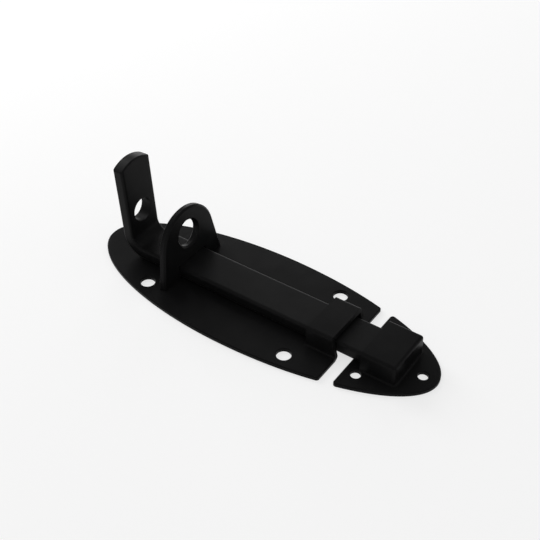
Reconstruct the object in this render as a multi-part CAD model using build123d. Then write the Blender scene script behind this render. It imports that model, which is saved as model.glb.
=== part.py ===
from build123d import *
import os
from math import cos, radians, sin, tan

# Oval padbolt. Lengths are in millimetres and angles in degrees. Both plates lie
# on the plane z = 0, +X points along the bolt to the keep, and x = 0 is the
# middle of the oval's length. The bolt is modelled thrown into the keep.

# Oval outline, cut across into the back plate and the keep plate
back_plate_length = 114.7    # rear tip to the cut edge
cut_gap = 5.0                # between the cut edges of the two plates
keep_plate_length = 30.3     # cut edge to the front tip
oval_rear = 71.5             # rear tip to the widest line
oval_half_width = 27.1
back_taper = 3.0             # how much shorter the back plate's own curve is at the front
sheet = 1.5                  # steel sheet of both plates
cut_corner = 1.2             # corner radius at the cut edges
plate_edge = 0.4             # bevel of the top edges

# Bolt, one flat bar with its rear end bent up as a handle
bar_width = 16.0
bar_thickness = 5.0
bar_edge = 1.2               # rounding along the bar
bolt_lift = 0.4              # running gap between plate and bolt
tip_clearance = 0.8          # bolt's tip to the keep's front wall
tip_edge = 0.8
handle_from_rear = 18.2      # rear tip to the handle's front face, at the bar's top
handle_lean = 3.4            # handle tilts back from upright
handle_side = 33.8           # bar's top to the handle's shoulders
handle_dome = 2.5            # rise of the rounded top above the shoulders
handle_edge = 0.6            # rounding of the top's edges
bend_radius = 4.5            # inside the bend
handle_hole_radius = 4.9
handle_hole_height = 13.0    # above the bar's top
bolt_travel = 22.5

# Stop under the bolt: a pip that runs in a slot of the back plate
pip_radius = 2.2
pip_from_rear = 69.5         # rear tip to the pip, with the bolt thrown
pip_clearance = 0.4          # round the pip, at the slot's sides and ends
pip_above_wall = 0.3

# Tunnel section, shared by the bridge and the keep's box
side_clearance = 1.1         # bar to wall, at the foot
roof_clearance = 1.2         # bar to roof
draft = 2.0                  # lean of the pressed walls
foot_radius = 0.8            # from the plate up into the walls
bridge_length = 12.9         # slit to the plate's cut edge
mouth_slant = 2.2            # how far the roof stands back from the cut edge
bridge_shoulder = 1.3        # outer radius along the roof's edges
keep_lip = 4.7               # flat strip between the cut edge and the box
keep_box_length = 14.1       # slit to the foot of the front wall
keep_shoulder = 1.2
keep_corner = 1.2            # upright corners of the box

# Lug, a half-round plate with the padlock's hole, staked into the back plate
lug_from_rear = 42.0         # rear tip to the front face, at the foot
lug_lean = 4.9
lug_thickness = 3.1
lug_radius = 15.0
lug_centre_height = 12.8     # above the plate, as are the heights below
lug_foot_half_width = 17.9
lug_hole_radius = 5.5
lug_hole_height = 16.8
lug_edge = 0.7               # bevel of the arch's and the hole's edges
lug_slot_clearance = 0.4     # round the bolt
tenon_width = 5.0
tenon_spacing = 25.4         # between the tenons' middles
tenon_clearance = 0.05
tenon_recess = 0.1           # tenon's end above the wall

# Screw holes
back_hole_radius = 2.85
rear_screw_inset = 32.4      # from the rear tip
rear_screw_spacing = 33.6
front_screw_inset = 16.4     # from the cut edge
front_screw_spacing = 38.6
keep_hole_radius = 1.95
keep_screw_inset = 4.7       # from the keep's cut edge
keep_screw_spacing = 25.8
tip_screw_inset = 5.9        # from the front tip
hole_rim = 0.3               # chamfer round each hole

# Places worked out from the sizes above
oval_length = back_plate_length + cut_gap + keep_plate_length
oval_front = oval_length - oval_rear
rear_tip = -oval_length / 2
front_tip = oval_length / 2
widest_x = rear_tip + oval_rear
back_cut_x = rear_tip + back_plate_length
keep_cut_x = back_cut_x + cut_gap
bridge_slit_x = back_cut_x - bridge_length
keep_slit_x = keep_cut_x + keep_lip
keep_front_x = keep_slit_x + keep_box_length
bar_bottom = sheet + bolt_lift
bar_top = bar_bottom + bar_thickness
tunnel_half_width = bar_width / 2 + side_clearance + sheet
tunnel_top = bar_top + roof_clearance + sheet
patch_reach = foot_radius + plate_edge   # from a wall's foot to the edge of the pressed patch
patch_half_width = tunnel_half_width + patch_reach
tip_x = keep_front_x - sheet - tip_clearance
handle_x = rear_tip + handle_from_rear
pip_x = rear_tip + pip_from_rear
lug_x = rear_tip + lug_from_rear

# Working room for trimming bodies, well outside the part
reach = 2 * oval_length
spare = 20.0
touch = 0.05                 # how near an edge must lie to count as on a surface


def slab(x_low, x_high, half_width, z_low, z_high):
    """A block from x_low to x_high, centred on y = 0."""
    size_x = x_high - x_low
    size_z = z_high - z_low
    block = Box(size_x, 2 * half_width, size_z)
    return Pos(x_low + size_x / 2, 0, z_low + size_z / 2) * block


def oval_blank(x_low, x_high, front_length):
    """The oval's flat sheet between two cuts, with softened top edges."""
    rear = Pos(widest_x, 0) * Ellipse(oval_rear, oval_half_width)
    front = Pos(widest_x, 0) * Ellipse(front_length, oval_half_width)
    rear_side = Pos(widest_x - reach / 2, 0) * Rectangle(reach, reach)
    front_side = Pos(widest_x + reach / 2, 0) * Rectangle(reach, reach)
    oval = (rear & rear_side) + (front & front_side)
    window = Pos((x_low + x_high) / 2, 0) * Rectangle(x_high - x_low, reach)
    blank = extrude(oval & window, sheet)
    corners = [
        edge for edge in blank.edges().filter_by(Axis.Z)
        if min(edge.center().X - x_low, x_high - edge.center().X) < touch
    ]
    blank = fillet(corners, cut_corner)
    return chamfer(blank.faces().sort_by(Axis.Z)[-1].edges(), plate_edge)


def pressed_form(level, half_width, x_low, x_high, shoulder, foot, corner):
    """A sheet surface at the given level with a drafted, rounded hump over it."""
    middle = (x_low + x_high) / 2
    rise = tunnel_top - sheet
    base = Rectangle(x_high - x_low, 2 * half_width)
    if corner > 0:
        base = fillet(base.vertices(), corner)
    hump = extrude(Pos(middle, 0, level) * base, rise, taper=draft)
    if shoulder > 0:
        hump = fillet(hump.faces().sort_by(Axis.Z)[-1].edges(), shoulder)
    ground = slab(x_low - spare, x_high + spare, half_width + spare, level - spare, level)
    form = ground + hump
    seam = [
        edge for edge in form.edges()
        if abs(edge.center().Z - level) < touch
        and abs(edge.center().Y) < half_width + touch
        and x_low - touch < edge.center().X < x_high + touch
    ]
    return fillet(seam, foot)


def tunnel(x_low, x_high, slit_x, end_x, shoulder):
    """Sheet raised over the bolt from the slit to end_x, even in thickness."""
    wall_shift = sheet / cos(radians(draft)) - sheet * tan(radians(draft))
    inner_shoulder = max(shoulder - sheet, 0)
    inner_corner = max(keep_corner - sheet, 0)
    outside = pressed_form(
        sheet, tunnel_half_width, x_low, x_high, shoulder, foot_radius, keep_corner
    )
    inside = pressed_form(
        0, tunnel_half_width - wall_shift, x_low + wall_shift, x_high - wall_shift,
        inner_shoulder, foot_radius + sheet, inner_corner
    )
    return (outside - inside) & slab(slit_x, end_x, patch_half_width, 0, tunnel_top + spare)


def screw_hole(x, y, radius):
    """Cutter for one through hole with a small chamfer at its top."""
    shank = Pos(x, y, sheet / 2) * Cylinder(radius, 2 * sheet)
    rim = Pos(x, y, sheet - hole_rim / 2) * Cone(radius, radius + hole_rim, hole_rim)
    return shank + rim


def tenons(clearance, z_low):
    """The lug's two feet, or with a clearance the slots that they go through."""
    feet = []
    middle = lug_x - lug_thickness / 2
    for side in (-1, 1):
        foot = Box(lug_thickness + 2 * clearance, tenon_width + 2 * clearance, sheet - z_low)
        feet.append(Pos(middle, side * tenon_spacing / 2, (sheet + z_low) / 2) * foot)
    return feet


def make_back_plate():
    """Oval plate with the bridge pressed up from its front end."""
    plate = oval_blank(rear_tip - spare, back_cut_x, oval_front - back_taper)
    plate -= slab(bridge_slit_x, back_cut_x + spare, patch_half_width, -spare, spare)
    arch = tunnel(bridge_slit_x - spare, back_cut_x + spare, bridge_slit_x, back_cut_x, bridge_shoulder)
    mouth = Polyline(
        (back_cut_x, 0, sheet),
        (back_cut_x - mouth_slant, 0, tunnel_top),
        (back_cut_x, 0, tunnel_top + spare),
        (back_cut_x + spare, 0, tunnel_top + spare),
        (back_cut_x + spare, 0, sheet),
        close=True,
    )
    arch -= extrude(make_face(mouth), reach / 2, both=True, dir=(0, 1, 0))
    plate += arch
    for side in (-1, 1):
        plate -= screw_hole(rear_tip + rear_screw_inset, side * rear_screw_spacing / 2, back_hole_radius)
        plate -= screw_hole(back_cut_x - front_screw_inset, side * front_screw_spacing / 2, back_hole_radius)
    for slot in tenons(tenon_clearance, -sheet):
        plate -= slot
    slot_radius = pip_radius + pip_clearance
    slot_middle = pip_x - bolt_travel / 2
    slot = Pos(slot_middle, 0, -sheet) * SlotCenterToCenter(bolt_travel, 2 * slot_radius)
    return plate - extrude(slot, 3 * sheet)


def make_keep_plate():
    """Tip of the oval with the closed box that takes the bolt."""
    plate = oval_blank(keep_cut_x, front_tip + spare, oval_front)
    patch_end = keep_front_x + patch_reach
    plate -= slab(keep_slit_x, patch_end, patch_half_width, -spare, spare)
    plate += tunnel(keep_slit_x - spare, keep_front_x, keep_slit_x, patch_end, keep_shoulder)
    for side in (-1, 1):
        plate -= screw_hole(keep_cut_x + keep_screw_inset, side * keep_screw_spacing / 2, keep_hole_radius)
    return plate - screw_hole(front_tip - tip_screw_inset, 0, keep_hole_radius)


def make_lug():
    """Half-round plate that leans back, with slot, padlock hole and two feet."""
    lean = radians(lug_lean)
    face = Plane((lug_x, 0, sheet), x_dir=(0, 1, 0), z_dir=(cos(lean), 0, sin(lean)))
    arch = Pos(0, lug_centre_height) * Circle(lug_radius)
    foot = Pos(0, -lug_thickness / 2) * Rectangle(2 * lug_foot_half_width, lug_thickness)
    outline = make_hull(arch.edges() + foot.edges())
    outline -= Pos(0, lug_hole_height) * Circle(lug_hole_radius)
    plate = extrude(face * outline, -lug_thickness)
    broad_faces = plate.faces().sort_by(SortBy.AREA)[-2:]
    plate = chamfer(broad_faces[0].edges() + broad_faces[1].edges(), lug_edge)
    plate -= slab(lug_x - spare, lug_x + spare, reach, sheet - spare, sheet)
    slot_half_width = bar_width / 2 + lug_slot_clearance
    plate -= slab(lug_x - spare, lug_x + spare, slot_half_width, 0, bar_top + lug_slot_clearance)
    for foot in tenons(0, tenon_recess):
        plate += foot
    return plate


def make_bolt():
    """Flat bar with rounded edges, bent up at the rear into a round-topped handle."""
    lean = radians(handle_lean)
    up = Vector(-sin(lean), 0, cos(lean))
    forward = Vector(cos(lean), 0, sin(lean))
    face_foot = Vector(handle_x, 0, bar_top)
    handle_middle = face_foot - forward * (bar_thickness / 2)
    bar_middle_z = bar_bottom + bar_thickness / 2
    corner = handle_middle + up * ((bar_middle_z - handle_middle.Z) / up.Z)
    top = handle_middle + up * (handle_side + handle_dome)
    start = Vector(tip_x, 0, bar_middle_z)
    path = FilletPolyline(start, corner, top, radius=bend_radius + bar_thickness / 2)
    section = Plane(start, x_dir=(0, 1, 0), z_dir=(-1, 0, 0)) * RectangleRounded(
        bar_width, bar_thickness, bar_edge
    )
    bar = sweep(section, path)
    bar = fillet(bar.faces().sort_by(Axis.X)[-1].edges(), tip_edge)

    face = Plane(face_foot, x_dir=(0, 1, 0), z_dir=forward)
    half_width = bar_width / 2
    dome_radius = (half_width ** 2 + handle_dome ** 2) / (2 * handle_dome)
    above = Pos(0, handle_side + spare) * Rectangle(2 * bar_width, 2 * spare)
    above -= Pos(0, handle_side + handle_dome - dome_radius) * Circle(dome_radius)
    bar -= extrude(face * above, spare, both=True)
    bar = fillet(bar.faces().sort_by(Axis.Z)[-1].edges(), handle_edge)
    bar -= extrude(face * Pos(0, handle_hole_height) * Circle(handle_hole_radius), spare, both=True)

    pip_height = bar_middle_z - pip_above_wall
    pip = Pos(pip_x, 0, pip_above_wall + pip_height / 2) * Cylinder(pip_radius, pip_height)
    return bar + pip


pieces = {
    "back_plate": make_back_plate(),
    "keep_plate": make_keep_plate(),
    "lug": make_lug(),
    "bolt": make_bolt(),
}

os.makedirs("parts", exist_ok=True)
for name, piece in pieces.items():
    export_step(piece, f"parts/{name}.step")
    print(name, "solids", len(piece.solids()), "volume", round(piece.volume, 1))
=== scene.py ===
import bpy
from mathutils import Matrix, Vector

# Black painted padbolt: two pressed oval plates, an upright lug, and a flat bolt with its end bent up
# Everything is in metres, and the plates lie on the floor

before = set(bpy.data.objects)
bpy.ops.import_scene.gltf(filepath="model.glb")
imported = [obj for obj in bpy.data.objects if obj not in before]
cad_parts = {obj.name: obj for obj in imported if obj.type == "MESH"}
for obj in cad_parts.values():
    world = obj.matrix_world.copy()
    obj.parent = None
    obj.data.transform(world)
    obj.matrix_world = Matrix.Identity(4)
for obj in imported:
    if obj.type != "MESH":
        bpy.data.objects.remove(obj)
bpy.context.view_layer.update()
print("stage: frame loaded,", len(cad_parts), "nodes")


# Small helpers for building node trees
def newMaterial(name):
    material = bpy.data.materials.new(name)
    material.use_nodes = True
    material.node_tree.nodes.clear()
    return material, material.node_tree


def addNode(tree, kind, x, y, **settings):
    node = tree.nodes.new(kind)
    node.location = (x, y)
    for key, value in settings.items():
        setattr(node, key, value)
    return node


def addNoise(tree, coords, x, y, scale, detail, stretch=(1, 1, 1)):
    mapping = addNode(tree, "ShaderNodeMapping", x - 200, y)
    mapping.inputs["Scale"].default_value = stretch
    noise = addNode(tree, "ShaderNodeTexNoise", x, y)
    noise.inputs["Scale"].default_value = scale
    noise.inputs["Detail"].default_value = detail
    tree.links.new(coords.outputs["Object"], mapping.inputs["Vector"])
    tree.links.new(mapping.outputs["Vector"], noise.inputs["Vector"])
    return noise


noiseReach = {"low": 0.25, "high": 0.75}  # share of the noise's own range that is spread out


def addRange(tree, x, y, source, low, high):
    spread = addNode(tree, "ShaderNodeMapRange", x, y, interpolation_type="SMOOTHSTEP")
    spread.inputs["From Min"].default_value = noiseReach["low"]
    spread.inputs["From Max"].default_value = noiseReach["high"]
    spread.inputs["To Min"].default_value = low
    spread.inputs["To Max"].default_value = high
    tree.links.new(source, spread.inputs["Value"])
    return spread


# How finely each of the paint's patterns is broken up
noiseDetail = {"cloud": 4.0, "sheen": 3.0, "peel": 2.0, "wave": 1.0}


# Black paint over steel: dark colour with a faint cloud, a sheen that varies, fine peel and a slight wave
def blackPaint(name, look):
    material, tree = newMaterial(name)
    out = addNode(tree, "ShaderNodeOutputMaterial", 900, 0)
    shader = addNode(tree, "ShaderNodeBsdfPrincipled", 600, 0)
    tree.links.new(shader.outputs["BSDF"], out.inputs["Surface"])
    shader.inputs["Specular IOR Level"].default_value = look["specular"]
    coords = addNode(tree, "ShaderNodeTexCoord", -1000, 0)

    clouds = addNoise(tree, coords, -600, 300, look["cloudScale"], noiseDetail["cloud"])
    tint = addNode(tree, "ShaderNodeMix", 100, 300, data_type="RGBA")
    tint.inputs["A"].default_value = (*look["dark"], 1)
    tint.inputs["B"].default_value = (*look["pale"], 1)
    cloudShare = addRange(tree, -300, 300, clouds.outputs["Fac"], 0.0, 1.0)
    tree.links.new(cloudShare.outputs["Result"], tint.inputs["Factor"])
    tree.links.new(tint.outputs["Result"], shader.inputs["Base Color"])

    sheen = addNoise(tree, coords, -600, 0, look["sheenScale"], noiseDetail["sheen"], look["sheenStretch"])
    rough = addRange(tree, -300, 0, sheen.outputs["Fac"], look["smooth"], look["rough"])
    tree.links.new(rough.outputs["Result"], shader.inputs["Roughness"])

    peel = addNoise(tree, coords, -600, -300, look["peelScale"], noiseDetail["peel"])
    wave = addNoise(tree, coords, -600, -600, look["waveScale"], noiseDetail["wave"])
    waveBump = addNode(tree, "ShaderNodeBump", 0, -600)
    waveBump.inputs["Strength"].default_value = look["waveStrength"]
    waveBump.inputs["Distance"].default_value = look["waveDepth"]
    tree.links.new(wave.outputs["Fac"], waveBump.inputs["Height"])
    peelBump = addNode(tree, "ShaderNodeBump", 250, -300)
    peelBump.inputs["Strength"].default_value = look["peelStrength"]
    peelBump.inputs["Distance"].default_value = look["peelDepth"]
    tree.links.new(peel.outputs["Fac"], peelBump.inputs["Height"])
    tree.links.new(waveBump.outputs["Normal"], peelBump.inputs["Normal"])
    tree.links.new(peelBump.outputs["Normal"], shader.inputs["Normal"])
    return material


def paintNode(nodeName, paintName, look):
    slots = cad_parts[nodeName].data.materials
    slots.clear()
    slots.append(blackPaint(paintName, look))


# Pressed plate: broad soft waves from the press, and the paint's own fine peel
backPlateLook = {
    "dark": (0.0070, 0.0070, 0.0072), "pale": (0.0094, 0.0094, 0.0096),
    "specular": 0.050, "smooth": 0.28, "rough": 0.36,
    "cloudScale": 55.0, "sheenScale": 120.0, "sheenStretch": (1, 1, 1),
    "peelScale": 1400.0, "peelStrength": 0.25, "peelDepth": 0.00004,
    "waveScale": 42.0, "waveStrength": 0.16, "waveDepth": 0.0003,
}
paintNode("back_plate", "backPlatePaint", backPlateLook)

# The keep is pressed from the same sheet, in a smaller piece that stayed a little flatter
keepLook = {
    "dark": (0.0070, 0.0070, 0.0072), "pale": (0.0094, 0.0094, 0.0096),
    "specular": 0.048, "smooth": 0.29, "rough": 0.37,
    "cloudScale": 70.0, "sheenScale": 150.0, "sheenStretch": (1, 1, 1),
    "peelScale": 1400.0, "peelStrength": 0.25, "peelDepth": 0.00004,
    "waveScale": 55.0, "waveStrength": 0.12, "waveDepth": 0.00025,
}
paintNode("keep_plate", "keepPaint", keepLook)

# The lug is thick plate with stamped edges, so its paint lies flat and even
lugLook = {
    "dark": (0.0072, 0.0072, 0.0074), "pale": (0.0092, 0.0092, 0.0094),
    "specular": 0.055, "smooth": 0.28, "rough": 0.35,
    "cloudScale": 80.0, "sheenScale": 160.0, "sheenStretch": (1, 1, 1),
    "peelScale": 1500.0, "peelStrength": 0.22, "peelDepth": 0.00004,
    "waveScale": 50.0, "waveStrength": 0.10, "waveDepth": 0.0002,
}
paintNode("lug", "lugPaint", lugLook)

# The bar is drawn flat, so its sheen runs a little lengthwise and it waves the least
boltLook = {
    "dark": (0.0070, 0.0070, 0.0072), "pale": (0.0092, 0.0092, 0.0094),
    "specular": 0.062, "smooth": 0.34, "rough": 0.42,
    "cloudScale": 65.0, "sheenScale": 150.0, "sheenStretch": (0.7, 1, 1),
    "peelScale": 1500.0, "peelStrength": 0.22, "peelDepth": 0.00004,
    "waveScale": 35.0, "waveStrength": 0.10, "waveDepth": 0.00025,
}
paintNode("bolt", "boltPaint", boltLook)
print("stage: paint on the steel")


# Paper floor: nearly white to the camera and in reflections, pale grey as a source of bounced light
floorLook = {"size": 11.0, "pale": 0.40, "bounce": 0.80, "lift": 0.66, "gap": 0.00002}
bpy.ops.object.select_all(action="DESELECT")
bpy.ops.mesh.primitive_plane_add(size=floorLook["size"], location=(0, 0, -floorLook["gap"]))
floor = bpy.context.object
floor.name = "floor"
bpy.ops.object.transform_apply(location=True, rotation=True, scale=True)
floorMaterial, tree = newMaterial("floorPaper")
out = addNode(tree, "ShaderNodeOutputMaterial", 800, 0)
rays = addNode(tree, "ShaderNodeLightPath", -400, 300)
seen = addNode(tree, "ShaderNodeMath", -200, 300, operation="MAXIMUM")
seenToo = addNode(tree, "ShaderNodeMath", 0, 300, operation="MAXIMUM")
tree.links.new(rays.outputs["Is Camera Ray"], seen.inputs[0])
tree.links.new(rays.outputs["Is Glossy Ray"], seen.inputs[1])
tree.links.new(seen.outputs[0], seenToo.inputs[0])
tree.links.new(rays.outputs["Is Transmission Ray"], seenToo.inputs[1])
greyPaper = addNode(tree, "ShaderNodeBsdfDiffuse", 0, 0)
greyPaper.inputs["Color"].default_value = (floorLook["bounce"],) * 3 + (1,)
whitePaper = addNode(tree, "ShaderNodeBsdfDiffuse", 0, -150)
whitePaper.inputs["Color"].default_value = (floorLook["pale"],) * 3 + (1,)
glow = addNode(tree, "ShaderNodeEmission", 0, -300)
glow.inputs["Strength"].default_value = floorLook["lift"]
bright = addNode(tree, "ShaderNodeAddShader", 200, -200)
tree.links.new(whitePaper.outputs["BSDF"], bright.inputs[0])
tree.links.new(glow.outputs["Emission"], bright.inputs[1])
mixed = addNode(tree, "ShaderNodeMixShader", 500, 0)
tree.links.new(seenToo.outputs[0], mixed.inputs["Fac"])
tree.links.new(greyPaper.outputs["BSDF"], mixed.inputs[1])
tree.links.new(bright.outputs["Shader"], mixed.inputs[2])
tree.links.new(mixed.outputs["Shader"], out.inputs["Surface"])
floor.data.materials.append(floorMaterial)

# Low pale wall all round, so that a view from the side stays on the same paper
backdropLook = {"radius": 5.0, "height": 1.55, "sides": 96}
bpy.ops.object.select_all(action="DESELECT")
bpy.ops.mesh.primitive_cylinder_add(vertices=backdropLook["sides"], radius=backdropLook["radius"],
                                    depth=backdropLook["height"], end_fill_type="NOTHING",
                                    location=(0, 0, backdropLook["height"] / 2))
backdrop = bpy.context.object
backdrop.name = "backdrop"
bpy.ops.object.transform_apply(location=True, rotation=True, scale=True)
backdrop.data.materials.append(floorMaterial)
print("stage: floor and backdrop")


# Soft studio light: lamps to the left and behind, in an even room
lamps = {
    "left": {"place": (-0.75, 0.20, 0.38), "size": 0.35, "watts": 3.1},
    "behind": {"place": (-0.45, 0.75, 0.30), "size": 0.45, "watts": 1.35},
}
lampAim = Vector((0, 0, 0.01))  # just above the plates, at the middle of the oval
for lampName, values in lamps.items():
    data = bpy.data.lights.new(lampName, "AREA")
    data.shape = "SQUARE"
    data.size = values["size"]
    data.energy = values["watts"]
    lamp = bpy.data.objects.new(lampName, data)
    bpy.context.scene.collection.objects.link(lamp)
    lamp.location = values["place"]
    lamp.visible_camera = False  # no lamp shows in a view from the side
    lamp.rotation_euler = (lampAim - lamp.location).to_track_quat("-Z", "Y").to_euler()

world = bpy.data.worlds.new("room")
bpy.context.scene.world = world
world.use_nodes = True
tree = world.node_tree
tree.nodes.clear()
roomLook = {"colour": (1.0, 1.0, 1.0), "ambient": 0.46}
out = addNode(tree, "ShaderNodeOutputWorld", 300, 0)
background = addNode(tree, "ShaderNodeBackground", 0, 0)
background.inputs["Color"].default_value = (*roomLook["colour"], 1)
background.inputs["Strength"].default_value = roomLook["ambient"]
tree.links.new(background.outputs["Background"], out.inputs["Surface"])
print("stage: lamps and room")


# Camera at the photograph's viewing angle
view = {
    "place": (0.15770, -0.21960, 0.24411), "lookAt": (-0.00856, 0.01757, 0.0),
    "lens": 63.47, "sensor": 36.0, "nearest": 0.01, "farthest": 20.0,
}
cameraData = bpy.data.cameras.new("photoCamera")
cameraData.lens = view["lens"]
cameraData.sensor_width = view["sensor"]
cameraData.clip_start = view["nearest"]
cameraData.clip_end = view["farthest"]
camera = bpy.data.objects.new("photoCamera", cameraData)
bpy.context.scene.collection.objects.link(camera)
camera.location = view["place"]
camera.rotation_euler = (Vector(view["lookAt"]) - camera.location).to_track_quat("-Z", "Y").to_euler()
bpy.context.scene.camera = camera
bpy.context.scene.view_settings.view_transform = "Standard"
print("stage: camera")
